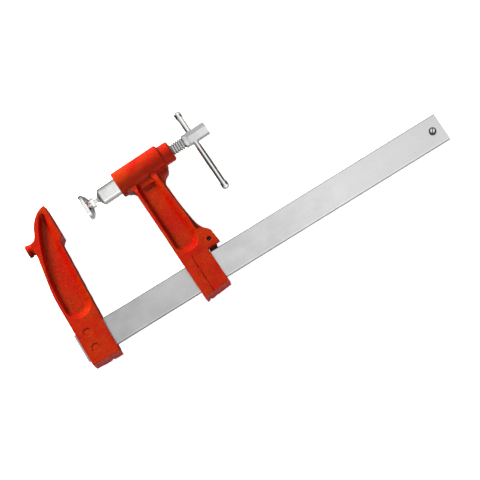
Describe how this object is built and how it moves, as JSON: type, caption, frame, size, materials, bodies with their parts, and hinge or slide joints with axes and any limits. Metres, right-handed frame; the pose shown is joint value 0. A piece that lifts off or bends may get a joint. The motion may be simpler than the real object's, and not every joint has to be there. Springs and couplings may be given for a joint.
{
  "type": "f clamp",
  "caption": "F-shaped clamp: a fixed jaw on a flat bar faces a sliding jaw whose screw pushes a round piston with a swivel pad; a sliding tommy bar turns the screw.",
  "frame": {"origin": "centre line of the fixed jaw's clamping face, mid-thickness, where the spindle axis meets it when the sliding jaw is square to the bar", "axes": "+X along the bar from the fixed jaw towards the bar's free end, +Y from the bar towards the tips of the arms, +Z through the thickness and up as the clamp lies flat"},
  "size_m": [0.486, 0.2144, 0.0324],
  "materials": {
    "bar_steel": "satin",
    "jaw_enamel": "glossy enamel over a cast surface",
    "blackened_steel": "black oxide",
    "bright_steel": "satin, turned",
    "spring_steel": "satin",
    "polished_plate": "polished"
  },
  "bodies": {
    "bar": {"bar": "bar_steel", "fixed_jaw": "jaw_enamel", "fixed_jaw_pins": "jaw_enamel", "bar_stop_screw": "blackened_steel"},
    "brake": {"brake_pawl": "blackened_steel", "pawl_pin": "blackened_steel"},
    "moving_jaw": {"moving_jaw": "jaw_enamel", "pawl_spring": "spring_steel", "piston_guide_screw": "bright_steel"},
    "piston": {"piston": "bright_steel", "thrust_ball": "bright_steel", "spindle_retainer_pins": "bright_steel"},
    "spindle": {"spindle": "bright_steel", "drive_head": "bright_steel", "drive_head_pin": "bright_steel"},
    "tommy_bar": {"tommy_bar": "polished_plate", "tommy_bar_caps": "polished_plate"},
    "pad_ring": {"pad_snap_ring": "spring_steel"},
    "swivel_pad": {"swivel_pad": "polished_plate"}
  },
  "joints": [
    {"name": "jaw_slide", "type": "slide", "parent": "bar", "child": "brake", "axis": [1, 0, 0], "range_m": [-0.017, 0.2835]},
    {"name": "jaw_rock", "type": "hinge", "parent": "brake", "child": "moving_jaw", "pos_m": [0.1428, -0.1176, 0], "axis": [0, 0, 1], "range_deg": [-2.1, 0]},
    {"name": "piston_slide", "type": "slide", "parent": "moving_jaw", "child": "piston", "axis": [-0.9993, -0.0366, 0], "range_m": [-0.02405, 0.01605]},
    {"name": "spindle_turn", "type": "hinge", "parent": "piston", "child": "spindle", "pos_m": [0.20824, 0.00248, 0], "axis": [-0.9993, -0.0366, 0], "range_deg": [-2880, 1920]},
    {"name": "tommy_slide", "type": "slide", "parent": "spindle", "child": "tommy_bar", "axis": [-0.0366, 0.9993, 0], "range_m": [-0.0195, 0.059]},
    {"name": "pad_swing", "type": "hinge", "parent": "piston", "child": "pad_ring", "pos_m": [0.04605, -0.00347, 0], "axis": [-0.0366, 0.9993, 0], "range_deg": [-8, 8]},
    {"name": "pad_tilt", "type": "hinge", "parent": "pad_ring", "child": "swivel_pad", "pos_m": [0.04605, -0.00347, 0], "axis": [0, 0, 1], "range_deg": [-8, 8]}
  ],
  "couplings": [
    {"joint": "piston_slide", "follows": "spindle_turn", "m_per_rad": 0.00047746}
  ]
}
